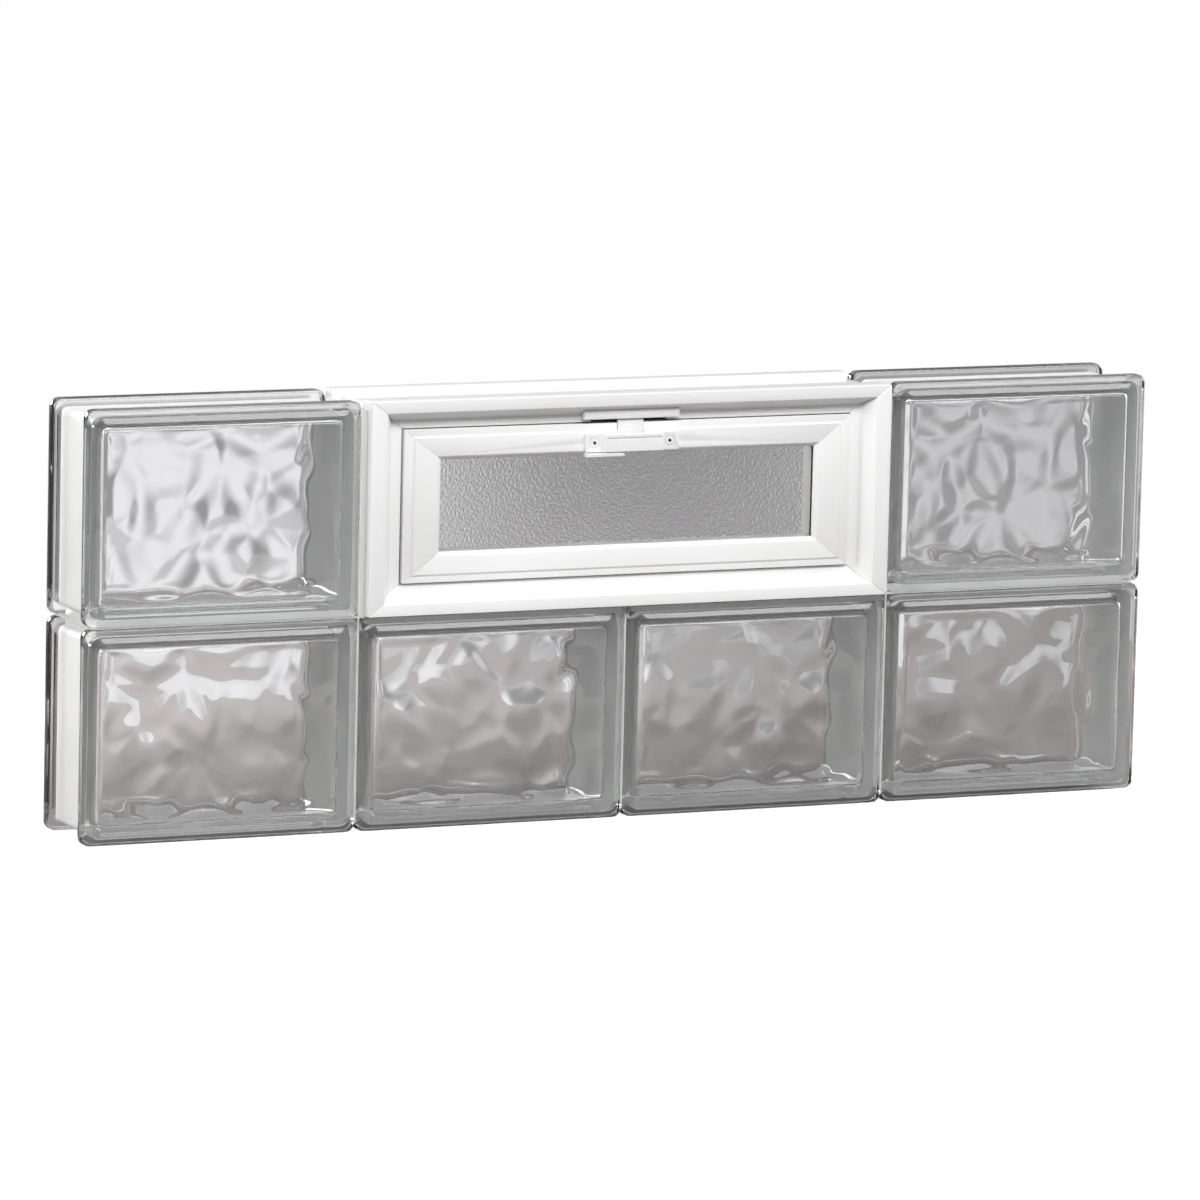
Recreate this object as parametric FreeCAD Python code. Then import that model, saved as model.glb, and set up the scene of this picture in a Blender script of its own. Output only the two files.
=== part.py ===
"""Frameless glass block window panel with a tilt-in hopper vent.

Two rows of hollow pressed-glass blocks are bonded edge to edge with silicone. A white vinyl vent takes
the place of the two middle blocks of the upper row. The room side, with the latch, faces -Y.
Millimetres, +Z up, +X to the right seen from the room. The origin is at the middle of the panel's foot.
"""
import os

import FreeCAD
import Part

V = FreeCAD.Vector

# Panel
COLUMNS = 4
JOINT_GAP = 1.1            # silicone between the lips of two blocks

# Glass block, pressed in two halves and fused at the middle of its depth
BLOCK_WIDTH = 196.0
BLOCK_HEIGHT = 145.5
BLOCK_DEPTH = 79.4
LIP_DEPTH = 13.0           # from the face to the back of the lip
LIP_CORNER = 6.0           # lip's corner, seen from the front
LIP_FRONT_ROUND = 2.4      # lip's front edge
LIP_BACK_ROUND = 1.6       # lip's back edge
KEY_RECESS = 5.5           # edge set in behind the lips, which keys the joint
KEY_CORNER = 5.0
RIM_WIDTH = 5.0            # flat rim round the raised face
FACE_RISE = 2.4            # raised face stands proud of the rim
FACE_BEVEL = 4.5           # width of the slope between rim and face
FACE_GLASS = 7.2           # glass thickness at the face
EDGE_GLASS = 6.4           # glass thickness at the edge walls
CAVITY_CORNER = 8.0
CAVITY_ROUND = 5.0         # where the edge walls run into the face

# Silicone joints
JOINT_SETBACK = 4.5        # joint's outer surface behind the block faces

# Vent frame: widths are those of the head and sill
VENT_BAY = 2               # blocks that the vent takes the place of
VENT_SIDE_JOINT = 4.6      # joint at each side of the vent
JAMB_WIDENING = 1.3        # uprights are this much wider than head and sill
FRAME_PROUD = 4.0          # vent's face in front of the block faces
FRAME_RECESS = 4.2         # keys the joint, as on a block
FRAME_GROOVE_WIDTH = 7.0   # two grooves along the recess of the extrusion
FRAME_GROOVE_DEPTH = 1.5
FRAME_GROOVE_AT = 13.0     # middle of a groove, from the middle of the blocks' depth
FRAME_FACE = 8.4           # flat face round the vent
REVEAL_WIDTH = 5.4         # sloped reveal inside the face
REVEAL_DEPTH = 11.0
LEDGE_WIDTH = 6.2          # flat ledge round the sash
STOP_WIDTH = 5.0           # stop behind the sash
SASH_STOP_GAP = 0.3        # closed sash to its stop
SASH_GAP = 0.8             # sash to frame, all round

# Sash
SASH_SETBACK = 7.0         # sash face behind the frame face
SASH_THICKNESS = 20.4
SASH_WIDTH = 20.7          # rails, from the outer edge to the glass
SASH_BAND = 4.5            # outer band set back from the sash face
SASH_BAND_SETBACK = 1.5
SASH_BAND_BEVEL = 1.2
BEAD_WIDTH = 2.5           # slope from the sash face to the glass
BEAD_DROP = 2.0
BEAD_LEG = 3.2             # sash face to the glass
PANE_THICKNESS = 4.0
PANE_BITE = 3.5            # how far the sash holds the pane's edge
PANE_EDGE_GAP = 0.5
PIVOT_RADIUS = 2.5         # the sash turns on two pins near its foot
PIVOT_RISE = 9.0           # pin above the sash's lower edge
PIVOT_LENGTH = 18.0
PIVOT_CLEARANCE = 0.1

# Latch
HOUSING_LENGTH = 69.0
HOUSING_HEIGHT = 12.4
HOUSING_PLATE = 2.6
HOUSING_TOP_IN = 6.6       # housing below the sash's upper edge
HOUSING_ROUND = 0.8
COVER_LENGTH = 44.0
COVER_DEPTH = 6.8
COVER_GROOVE_LENGTH = 40.0
COVER_GROOVE_HEIGHT = 1.0
COVER_GROOVE_IN = 2.6      # groove below the cover's upper edge
COVER_GROOVE_DEPTH = 0.8
SCREW_SPACING = 56.0
SCREW_HEAD_RADIUS = 3.3
SCREW_HEAD_HEIGHT = 1.8
SCREW_SHANK_RADIUS = 1.5
SCREW_END_GAP = 0.6        # screw's end short of the pane
SCREW_SOCKET_ACROSS = 2.4
SCREW_SOCKET_DEPTH = 1.4
SCREW_CLEARANCE = 0.1
BOLT_WIDTH = 19.0
BOLT_THICKNESS = 2.5
BOLT_SETBACK = 0.6         # bolt slides in a slot of the top rail, behind the sash face
BOLT_GAP = 0.4             # bolt to its slots
BOLT_REACH = 2.6           # bolt behind the keeper's lip
BOLT_INSIDE = 8.0          # bolt behind the housing
KEEPER_LENGTH = 71.0
KEEPER_RISE = 2.2          # keeper's foot above the ledge's edge
KEEPER_LIP = 1.6
KEEPER_SLOT_LENGTH = 56.0  # slot along the head's ledge below the keeper
KEEPER_SLOT_DEPTH = 8.0
LEVER_THICKNESS = 2.2
LEVER_GAP = 0.5            # lever to the housing and to the sash face
LEVER_LENGTH = 24.0
LEVER_WIDTH = 7.0
LEVER_START = -35.0        # free end of the lever's bar, left of the latch's middle
THUMB_RADIUS = 6.5
THUMB_IN = 0.3             # thumb piece behind the vent's face
THUMB_DISH = 1.0
LEVER_STEM_RADIUS = 2.2
LEVER_STEM_AT = -17.0

# Worked out from the sizes above
PITCH_X = BLOCK_WIDTH + JOINT_GAP
PITCH_Z = BLOCK_HEIGHT + JOINT_GAP
FACE_Y = -BLOCK_DEPTH / 2
LIP_Y = FACE_Y + LIP_DEPTH
RIM_Y = FACE_Y + FACE_RISE
JOINT_Y = FACE_Y + JOINT_SETBACK

VENT_WIDTH = VENT_BAY * PITCH_X + JOINT_GAP - 2 * VENT_SIDE_JOINT
VENT_HEIGHT = BLOCK_HEIGHT
VENT_MID_Z = PITCH_Z + VENT_HEIGHT / 2
VENT_TOP_Z = PITCH_Z + VENT_HEIGHT
LEDGE_IN = FRAME_FACE + REVEAL_WIDTH
POCKET_IN = LEDGE_IN + LEDGE_WIDTH
FRAME_Y = FACE_Y - FRAME_PROUD
LEDGE_Y = FRAME_Y + REVEAL_DEPTH
SASH_IN = POCKET_IN + SASH_GAP
SASH_Y = FRAME_Y + SASH_SETBACK
SASH_BACK_Y = SASH_Y + SASH_THICKNESS
STOP_Y = SASH_BACK_Y + SASH_STOP_GAP
BAND_Y = SASH_Y + SASH_BAND_SETBACK
SIGHT_IN = SASH_IN + SASH_WIDTH
GROOVE_IN = SIGHT_IN - PANE_BITE - PANE_EDGE_GAP
PANE_Y = SASH_Y + BEAD_LEG

SASH_TOP_Z = VENT_TOP_Z - SASH_IN
SASH_FOOT_Z = VENT_MID_Z - VENT_HEIGHT / 2 + SASH_IN
SASH_SIDE_X = VENT_WIDTH / 2 - JAMB_WIDENING * SASH_IN
HOUSING_TOP_Z = SASH_TOP_Z - HOUSING_TOP_IN
HOUSING_FOOT_Z = HOUSING_TOP_Z - HOUSING_HEIGHT
SCREW_Z = HOUSING_TOP_Z - HOUSING_HEIGHT / 2
SCREW_LENGTH = HOUSING_PLATE + BEAD_LEG - SCREW_END_GAP
BOLT_Y = SASH_Y + BOLT_SETBACK
BOLT_BACK_Y = BOLT_Y + BOLT_THICKNESS
BOLT_SLOT_HALF = BOLT_WIDTH / 2 + BOLT_GAP
BOLT_FOOT_Z = HOUSING_TOP_Z - BOLT_INSIDE
KEEPER_Y = BOLT_Y - BOLT_GAP - KEEPER_LIP
KEEPER_FOOT_Z = VENT_TOP_Z - POCKET_IN + KEEPER_RISE
BOLT_TOP_Z = KEEPER_FOOT_Z + BOLT_REACH


def box(x0, x1, y0, y1, z0, z1):
    """A box between two corners."""
    return Part.makeBox(x1 - x0, y1 - y0, z1 - z0, V(x0, y0, z0))


def rounded_rectangle(width, height, radius, y):
    """A wire round the Y axis with arcs at its four corners."""
    half_w, half_h = width / 2, height / 2
    diagonal = radius * (1 - 0.5 ** 0.5)
    edges = []
    for sx, sz in ((1, 1), (-1, 1), (-1, -1), (1, -1)):
        on_side = V(sx * half_w, y, sz * (half_h - radius))
        on_corner = V(sx * (half_w - diagonal), y, sz * (half_h - diagonal))
        on_end = V(sx * (half_w - radius), y, sz * half_h)
        first, last = (on_side, on_end) if sx * sz > 0 else (on_end, on_side)
        edges.append(Part.Arc(first, on_corner, last).toShape())
    corners = list(edges)
    for here, after in zip(corners, corners[1:] + corners[:1]):
        edges.append(Part.LineSegment(here.lastVertex().Point, after.firstVertex().Point).toShape())
    return Part.Wire(Part.__sortEdges__(edges))


def rounded_slab(width, height, radius, y0, y1):
    """A plate with rounded corners between two places along Y."""
    return Part.Face(rounded_rectangle(width, height, radius, y0)).extrude(V(0, y1 - y0, 0))


def edges_at(shape, y):
    """The edges of a shape that lie in the plane at y."""
    near = 1e-6
    return [e for e in shape.Edges if abs(e.BoundBox.YMin - y) < near and abs(e.BoundBox.YMax - y) < near]


def block_front_half():
    """One pressed half of a block, centred on the Y axis, from its face back to the seam at y = 0."""
    key_w = BLOCK_WIDTH - 2 * KEY_RECESS
    key_h = BLOCK_HEIGHT - 2 * KEY_RECESS
    wall = rounded_slab(key_w, key_h, KEY_CORNER, LIP_Y, 0)

    lip = rounded_slab(BLOCK_WIDTH, BLOCK_HEIGHT, LIP_CORNER, RIM_Y, LIP_Y)
    lip = lip.makeFillet(LIP_FRONT_ROUND, edges_at(lip, RIM_Y))
    lip = lip.makeFillet(LIP_BACK_ROUND, edges_at(lip, LIP_Y))

    foot_in = 2 * RIM_WIDTH
    top_in = 2 * (RIM_WIDTH + FACE_BEVEL)
    foot = rounded_rectangle(BLOCK_WIDTH - foot_in, BLOCK_HEIGHT - foot_in, LIP_CORNER, RIM_Y)
    top = rounded_rectangle(BLOCK_WIDTH - top_in, BLOCK_HEIGHT - top_in, LIP_CORNER, FACE_Y)
    face = Part.makeLoft([foot, top], True, True)

    cavity_y = FACE_Y + FACE_GLASS
    cavity_w = key_w - 2 * EDGE_GLASS
    cavity_h = key_h - 2 * EDGE_GLASS
    cavity = rounded_slab(cavity_w, cavity_h, CAVITY_CORNER, cavity_y, 0)
    cavity = cavity.makeFillet(CAVITY_ROUND, edges_at(cavity, cavity_y))
    return wall.fuse([lip, face]).cut(cavity).removeSplitter()


def blocks():
    """Both halves of every block, named by row and column; the vent takes the upper row's middle."""
    front = block_front_half()
    rear = front.mirror(V(0, 0, 0), V(0, 1, 0))
    places = {"upper_left_block": (0, 1), "upper_right_block": (COLUMNS - 1, 1)}
    for column in range(COLUMNS):
        places["lower_block_%d" % (column + 1)] = (column, 0)
    made = {}
    for name, (column, row) in places.items():
        middle = V(column_x(column), 0, BLOCK_HEIGHT / 2 + row * PITCH_Z)
        for half, shape in (("front_half", front), ("rear_half", rear)):
            made["%s_%s" % (name, half)] = shape.translated(middle)
    return made


def column_x(column):
    """Middle of a column of blocks."""
    return (column - (COLUMNS - 1) / 2) * PITCH_X


def joints():
    """Silicone that bonds the panel: one bed between the rows and uprights between neighbours."""
    half_width = (COLUMNS * PITCH_X - JOINT_GAP) / 2
    bed_low = BLOCK_HEIGHT
    bed_high = PITCH_Z
    made = {}

    # Lower recess runs over all the blocks, upper recess from the blocks at the ends to the vent sill between
    web = box(-half_width + LIP_CORNER, half_width - LIP_CORNER, JOINT_Y, -JOINT_Y, bed_low, bed_high)
    vent_half = VENT_WIDTH / 2 - JAMB_WIDENING * FRAME_RECESS
    end_in = KEY_RECESS + KEY_CORNER
    key_end = half_width - end_in
    web = web.fuse(box(-key_end, key_end, LIP_Y, -LIP_Y, bed_low - KEY_RECESS, bed_low))
    for x0, x1 in ((-key_end, -vent_half), (vent_half, key_end)):
        web = web.fuse(box(x0, x1, LIP_Y, -LIP_Y, bed_high, bed_high + KEY_RECESS))
    web = web.fuse(box(-vent_half, vent_half, LIP_Y, -LIP_Y, bed_high, bed_high + FRAME_RECESS))
    made["bed_joint"] = web.removeSplitter()

    for number, name in enumerate(("left", "middle", "right")):
        x = (column_x(number) + column_x(number + 1)) / 2
        upright = box(x - JOINT_GAP / 2, x + JOINT_GAP / 2, JOINT_Y, -JOINT_Y, LIP_CORNER, bed_low)
        reach = JOINT_GAP / 2 + KEY_RECESS
        key = box(x - reach, x + reach, LIP_Y, -LIP_Y, end_in, bed_low - KEY_RECESS)
        made["lower_%s_joint" % name] = upright.fuse(key).cut(web).removeSplitter()

    top = bed_high + BLOCK_HEIGHT
    for sx, name in ((-1, "left"), (1, "right")):
        block_side = sx * (VENT_WIDTH / 2 + VENT_SIDE_JOINT)
        vent_side = sx * VENT_WIDTH / 2
        x0, x1 = sorted((block_side, vent_side))
        upright = box(x0, x1, JOINT_Y, -JOINT_Y, bed_high, top - LIP_CORNER)
        k0, k1 = sorted((block_side + sx * KEY_RECESS, vent_side - sx * JAMB_WIDENING * FRAME_RECESS))
        key = box(k0, k1, LIP_Y, -LIP_Y, bed_high + KEY_RECESS, top - end_in)
        made["vent_%s_joint" % name] = upright.fuse(key).cut(web).removeSplitter()
    return made


def corner(sx, sz):
    """Maps a profile point (inset, y) onto the mitre at one corner of the vent."""
    def place(point):
        inset, y = point
        x = sx * (VENT_WIDTH / 2 - JAMB_WIDENING * inset)
        return V(x, y, VENT_MID_Z + sz * (VENT_HEIGHT / 2 - inset))
    return place


def mitred_member(profile, start, end):
    """A straight extrusion between two mitred corners, as a solid with flat faces."""
    first = [start(p) for p in profile]
    last = [end(p) for p in profile]
    faces = [Part.Face(Part.makePolygon(ring + ring[:1])) for ring in (first, last)]
    for i in range(len(profile)):
        j = (i + 1) % len(profile)
        faces.append(Part.Face(Part.makePolygon([first[i], first[j], last[j], last[i], first[i]])))
    solid = Part.Solid(Part.Shell(faces))
    if solid.Volume < 0:
        solid.reverse()
    return solid


def mitred_ring(profile, names):
    """Four mitred members round the vent: top, bottom, left and right."""
    ends = (((-1, 1), (1, 1)), ((-1, -1), (1, -1)), ((-1, -1), (-1, 1)), ((1, -1), (1, 1)))
    return {name: mitred_member(profile, corner(*a), corner(*b)) for name, (a, b) in zip(names, ends)}


def vent_frame():
    """Fixed frame of the vent: white vinyl, mitred and welded at the corners."""
    profile = [
        (0, FRAME_Y),
        (FRAME_FACE, FRAME_Y),
        (LEDGE_IN, LEDGE_Y),
        (POCKET_IN, LEDGE_Y),
        (POCKET_IN, STOP_Y),
        (POCKET_IN + STOP_WIDTH, STOP_Y),
        (POCKET_IN + STOP_WIDTH, -LIP_Y),
        (POCKET_IN, -FACE_Y),
        (0, -FACE_Y),
        (0, -LIP_Y),
        (FRAME_RECESS, -LIP_Y),
    ]
    for middle in (FRAME_GROOVE_AT, -FRAME_GROOVE_AT):
        profile += groove_section(middle)
    profile += [(FRAME_RECESS, LIP_Y), (0, LIP_Y)]
    made = mitred_ring(profile, ("vent_head", "vent_sill", "vent_left_jamb", "vent_right_jamb"))
    for side, sx in (("left", -1), ("right", 1)):
        made["vent_%s_jamb" % side] = made["vent_%s_jamb" % side].cut(pivot_pin(sx, PIVOT_CLEARANCE))
    half_slot = KEEPER_SLOT_LENGTH / 2
    slot = box(-half_slot, half_slot, LEDGE_Y, LEDGE_Y + KEEPER_SLOT_DEPTH,
               VENT_TOP_Z - POCKET_IN, KEEPER_FOOT_Z)
    made["vent_head"] = made["vent_head"].cut(slot)
    return made


def groove_section(middle):
    """Points (inset, y) round one groove in the frame's recess, from the rear to the front."""
    half = FRAME_GROOVE_WIDTH / 2
    floor = FRAME_RECESS + FRAME_GROOVE_DEPTH
    return [
        (FRAME_RECESS, middle + half),
        (floor, middle + half),
        (floor, middle - half),
        (FRAME_RECESS, middle - half),
    ]


def pivot_pin(sx, clearance=0.0):
    """A pin between jamb and stile near the sash's foot, or its hole."""
    middle_x = sx * (SASH_SIDE_X + JAMB_WIDENING * SASH_GAP / 2)
    length = PIVOT_LENGTH + 2 * clearance
    start = V(middle_x - length / 2, (SASH_Y + SASH_BACK_Y) / 2, SASH_FOOT_Z + PIVOT_RISE)
    return Part.makeCylinder(PIVOT_RADIUS + clearance, length, start, V(1, 0, 0))


def sash():
    """Tilt-in sash: mitred vinyl rails and stiles, grooved for the pane, on two pivot pins."""
    band_end = SASH_IN + SASH_BAND
    profile = [
        (SASH_IN, BAND_Y),
        (band_end, BAND_Y),
        (band_end + SASH_BAND_BEVEL, SASH_Y),
        (SIGHT_IN - BEAD_WIDTH, SASH_Y),
        (SIGHT_IN, SASH_Y + BEAD_DROP),
        (SIGHT_IN, PANE_Y),
        (GROOVE_IN, PANE_Y),
        (GROOVE_IN, PANE_Y + PANE_THICKNESS),
        (SIGHT_IN, PANE_Y + PANE_THICKNESS),
        (SIGHT_IN, SASH_BACK_Y),
        (SASH_IN, SASH_BACK_Y),
    ]
    made = mitred_ring(
        profile, ("sash_top_rail", "sash_bottom_rail", "sash_left_stile", "sash_right_stile"))
    for side, sx in (("left", -1), ("right", 1)):
        stile = "sash_%s_stile" % side
        made[stile] = made[stile].cut(pivot_pin(sx, PIVOT_CLEARANCE))
        made["sash_%s_pivot_pin" % side] = pivot_pin(sx)
    bolt_slot = box(-BOLT_SLOT_HALF, BOLT_SLOT_HALF, SASH_Y, BOLT_BACK_Y + BOLT_GAP, BOLT_FOOT_Z, SASH_TOP_Z)
    made["sash_top_rail"] = made["sash_top_rail"].cut([bolt_slot, screw_hole(-1), screw_hole(1)])

    pane_in = GROOVE_IN + PANE_EDGE_GAP
    half_x = VENT_WIDTH / 2 - JAMB_WIDENING * pane_in
    half_z = VENT_HEIGHT / 2 - pane_in
    made["obscure_glass_pane"] = box(
        -half_x, half_x, PANE_Y, PANE_Y + PANE_THICKNESS, VENT_MID_Z - half_z, VENT_MID_Z + half_z)
    return made


def screw_hole(sx):
    """Hole for a latch screw's head and shank."""
    start = V(sx * SCREW_SPACING / 2, SASH_Y - HOUSING_PLATE, SCREW_Z)
    head = Part.makeCylinder(SCREW_HEAD_RADIUS + SCREW_CLEARANCE, SCREW_HEAD_HEIGHT, start, V(0, 1, 0))
    depth = SCREW_LENGTH + SCREW_CLEARANCE
    shank = Part.makeCylinder(SCREW_SHANK_RADIUS + SCREW_CLEARANCE, depth, start, V(0, 1, 0))
    return head.fuse(shank)


def latch_screw(sx):
    """A flush-headed screw with a six-sided socket."""
    start = V(sx * SCREW_SPACING / 2, SASH_Y - HOUSING_PLATE, SCREW_Z)
    head = Part.makeCylinder(SCREW_HEAD_RADIUS, SCREW_HEAD_HEIGHT, start, V(0, 1, 0))
    shank = Part.makeCylinder(SCREW_SHANK_RADIUS, SCREW_LENGTH, start, V(0, 1, 0))
    points = []
    for i in range(6):
        arm = V(SCREW_SOCKET_ACROSS / 2, 0, 0)
        points.append(start + FreeCAD.Rotation(V(0, 1, 0), 60 * i).multVec(arm))
    socket = Part.Face(Part.makePolygon(points + points[:1])).extrude(V(0, SCREW_SOCKET_DEPTH, 0))
    return head.fuse(shank).cut(socket).removeSplitter()


def latch():
    """Spring latch on the top rail, its bolt, finger lever and screws, and the keeper on the head."""
    made = {}
    half_plate, half_cover = HOUSING_LENGTH / 2, COVER_LENGTH / 2
    plate = box(-half_plate, half_plate, SASH_Y - HOUSING_PLATE, SASH_Y, HOUSING_FOOT_Z, HOUSING_TOP_Z)
    cover = box(-half_cover, half_cover, SASH_Y - COVER_DEPTH, SASH_Y, HOUSING_FOOT_Z, HOUSING_TOP_Z)
    cover = cover.makeFillet(HOUSING_ROUND, edges_at(cover, SASH_Y - COVER_DEPTH))
    groove_top = HOUSING_TOP_Z - COVER_GROOVE_IN
    half_groove = COVER_GROOVE_LENGTH / 2
    groove = box(-half_groove, half_groove, SASH_Y - COVER_DEPTH, SASH_Y - COVER_DEPTH + COVER_GROOVE_DEPTH,
                 groove_top - COVER_GROOVE_HEIGHT, groove_top)
    stem_hole = lever_stem(LEVER_STEM_RADIUS)
    housing = plate.fuse(cover).cut([groove, stem_hole, screw_hole(-1), screw_hole(1)])
    made["latch_housing"] = housing.removeSplitter()

    half_bolt = BOLT_WIDTH / 2
    made["latch_bolt"] = box(-half_bolt, half_bolt, BOLT_Y, BOLT_BACK_Y, BOLT_FOOT_Z, BOLT_TOP_Z)
    made["latch_left_screw"] = latch_screw(-1)
    made["latch_right_screw"] = latch_screw(1)
    made["latch_lever"] = latch_lever()

    made["latch_keeper"] = latch_keeper()
    return made


def latch_keeper():
    """Keeper under the head: it fills the corner of ledge and reveal, and is hollow behind its lip."""
    ledge_top = VENT_TOP_Z - LEDGE_IN
    lip_top = ledge_top + (LEDGE_Y - KEEPER_Y) * REVEAL_WIDTH / REVEAL_DEPTH
    half = KEEPER_LENGTH / 2
    section = [
        V(-half, LEDGE_Y, KEEPER_FOOT_Z),
        V(-half, LEDGE_Y, ledge_top),
        V(-half, KEEPER_Y, lip_top),
        V(-half, KEEPER_Y, KEEPER_FOOT_Z),
    ]
    body = Part.Face(Part.makePolygon(section + section[:1])).extrude(V(KEEPER_LENGTH, 0, 0))
    hollow = box(-BOLT_SLOT_HALF, BOLT_SLOT_HALF, KEEPER_Y + KEEPER_LIP, LEDGE_Y,
                 KEEPER_FOOT_Z, BOLT_TOP_Z + BOLT_GAP)
    return body.cut(hollow)


def lever_stem(radius):
    """Round stem that carries the lever in the housing's foot."""
    start = V(LEVER_STEM_AT, SASH_Y - COVER_DEPTH / 2, HOUSING_FOOT_Z - LEVER_GAP)
    return Part.makeCylinder(radius, HOUSING_HEIGHT / 2, start, V(0, 0, 1))


def latch_lever():
    """Finger lever under the housing: a flat bar that ends in a dished thumb piece."""
    top = HOUSING_FOOT_Z - LEVER_GAP
    back_y = SASH_Y - COVER_DEPTH / 2 + LEVER_WIDTH / 2
    front_y = back_y - LEVER_WIDTH
    bar = box(LEVER_START, LEVER_START + LEVER_LENGTH, front_y, back_y, top - LEVER_THICKNESS, top)
    thumb_middle = V(LEVER_START + LEVER_LENGTH, FRAME_Y + THUMB_IN + THUMB_RADIUS, top - LEVER_THICKNESS)
    thumb = Part.makeCylinder(THUMB_RADIUS, LEVER_THICKNESS, thumb_middle, V(0, 0, 1))
    clear = box(thumb_middle.x - THUMB_RADIUS, thumb_middle.x + THUMB_RADIUS, SASH_Y - LEVER_GAP,
                thumb_middle.y + THUMB_RADIUS, top - LEVER_THICKNESS, top)
    ball_radius = (THUMB_RADIUS ** 2 + THUMB_DISH ** 2) / (2 * THUMB_DISH)
    dish = Part.makeSphere(ball_radius, V(thumb_middle.x, thumb_middle.y, top + ball_radius - THUMB_DISH))
    stem = lever_stem(LEVER_STEM_RADIUS - SCREW_CLEARANCE)
    return bar.fuse(thumb.cut(clear)).cut(dish).fuse(stem).removeSplitter()


# The origin is halfway between the vent's face and the rear of the blocks
to_middle = V(0, FRAME_PROUD / 2, 0)
os.makedirs("parts", exist_ok=True)
for group in (blocks(), joints(), vent_frame(), sash(), latch()):
    for name, shape in group.items():
        if not shape.isValid():
            raise ValueError("%s is not a valid shape" % name)
        shape.translated(to_middle).exportStep("parts/%s.step" % name)
        print("%-28s %d solid(s) %10.1f mm3" % (name, len(shape.Solids), shape.Volume))
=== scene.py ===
"""Looks of a glass block window panel with a white vinyl tilt-in vent.

Metres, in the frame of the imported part: the room side faces -Y, +Z is up, the panel stands on z = 0.
"""
import math

import bmesh
import bpy
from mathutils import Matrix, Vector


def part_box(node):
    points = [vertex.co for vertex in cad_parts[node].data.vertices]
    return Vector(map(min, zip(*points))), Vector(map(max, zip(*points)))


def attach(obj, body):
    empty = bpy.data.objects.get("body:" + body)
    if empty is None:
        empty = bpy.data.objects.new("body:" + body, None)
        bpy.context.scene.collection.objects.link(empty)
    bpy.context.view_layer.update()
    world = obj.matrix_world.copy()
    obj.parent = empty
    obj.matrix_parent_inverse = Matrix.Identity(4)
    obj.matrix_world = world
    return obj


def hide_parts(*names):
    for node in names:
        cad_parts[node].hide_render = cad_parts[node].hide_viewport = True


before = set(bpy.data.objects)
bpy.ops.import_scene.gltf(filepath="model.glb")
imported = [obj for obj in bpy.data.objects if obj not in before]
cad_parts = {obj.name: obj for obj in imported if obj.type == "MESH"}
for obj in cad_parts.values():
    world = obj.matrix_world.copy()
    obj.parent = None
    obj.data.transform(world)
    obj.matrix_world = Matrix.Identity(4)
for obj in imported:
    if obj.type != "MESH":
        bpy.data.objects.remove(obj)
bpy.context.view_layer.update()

bpy.ops.object.select_all(action="DESELECT")
bpy.context.scene.view_settings.view_transform = "Standard"


# Glass blocks: the skin. A block is two trays of pale glass, pressed and then fused at mid depth.
# Its outer skin has a raised face, a flat rim, two rounded lips, and edges set in between the lips.
block_width = 0.196
block_height = 0.1455
block_half_depth = 0.0397
rim_y = -0.0373            # flat rim round the raised face, from the seam
lip_y = -0.0267            # back of the lip
lip_corner = 0.006
lip_front_round = 0.0024
lip_front_steps = 4
lip_back_round = 0.0016
lip_back_steps = 3
corner_easing = 0.6        # how much of an inset comes off the corner's radius
edge_recess = 0.0055
recess_corner = 0.005
hairline = 0.00006         # between the glass and what touches it
loop_step = 0.00003        # keeps two loops of a flat out of one plane, where a bridge would twist
corner_segments = 5
face_margin = 0.0012
weld_distance = 0.00002


def alone(piece):
    """Deselect everything, then select this piece and make it the active one."""
    if bpy.context.mode != "OBJECT":
        bpy.ops.object.mode_set(mode="OBJECT")
    bpy.ops.object.select_all(action="DESELECT")
    piece.select_set(True)
    bpy.context.view_layer.objects.active = piece


def edit(piece):
    """Open a piece in edit mode."""
    alone(piece)
    bpy.ops.object.mode_set(mode="EDIT")


def pick(kind, test):
    """In edit mode, select the verts, edges or faces that pass a test, and nothing else."""
    bpy.ops.mesh.select_mode(type={"verts": "VERT", "edges": "EDGE", "faces": "FACE"}[kind])
    bpy.ops.mesh.select_all(action="DESELECT")
    mesh = bmesh.from_edit_mesh(bpy.context.object.data)
    getattr(mesh, kind).ensure_lookup_table()
    for element in getattr(mesh, kind):
        if test(element):
            element.select_set(True)
    mesh.select_flush_mode()
    bmesh.update_edit_mesh(bpy.context.object.data)


def rounded_loop(inset, corner, y):
    """Add a plane of the block's outline, round its corners, drop its face; the loop's vertex numbers."""
    size = (block_width - 2 * (inset + hairline), 1, block_height - 2 * (inset + hairline))
    bpy.ops.mesh.select_mode(type="VERT")
    bpy.ops.mesh.primitive_plane_add(size=1, location=(0, y, 0), rotation=(math.pi / 2, 0, 0))
    bpy.ops.transform.resize(value=size, center_override=(0, y, 0))
    bpy.ops.mesh.bevel(affect="VERTICES", offset=corner, segments=corner_segments, profile=0.5)
    bpy.ops.mesh.delete(type="ONLY_FACE")
    mesh = bmesh.from_edit_mesh(bpy.context.object.data)
    mesh.verts.index_update()
    count = 4 * (corner_segments + 1)
    return set(range(len(mesh.verts) - count, len(mesh.verts)))


def select_loops(*loops):
    """Select whole loops by their vertex numbers."""
    pick("edges", lambda e: any(e.verts[0].index in loop and e.verts[1].index in loop for loop in loops))


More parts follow.
